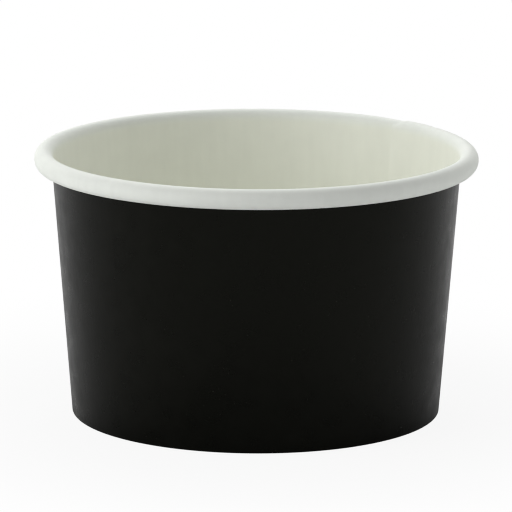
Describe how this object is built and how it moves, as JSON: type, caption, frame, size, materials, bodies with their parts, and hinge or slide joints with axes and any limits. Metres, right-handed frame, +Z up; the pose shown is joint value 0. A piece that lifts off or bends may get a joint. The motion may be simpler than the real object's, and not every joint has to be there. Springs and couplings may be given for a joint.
{
  "type": "paper dessert cup",
  "caption": "Low tapered paper dessert cup with a matt black outside, a white inside, a rolled rim, a lap side seam and a recessed disc bottom.",
  "frame": {"origin": "centre of the foot ring, on the plane that the cup stands on", "axes": "+Z up out of the cup's mouth, +X to the right and +Y away from the viewer of the picture; the side seam is behind and to the right, 47 degrees from +X towards +Y"},
  "size_m": [0.096, 0.096, 0.0581],
  "materials": {
    "black_board": "matt black print outside, white coated board inside",
    "white_board": "white coated board with a soft sheen"
  },
  "bodies": {
    "root": {"sidewall": "black_board", "bottom_disc": "white_board"}
  },
  "joints": []
}
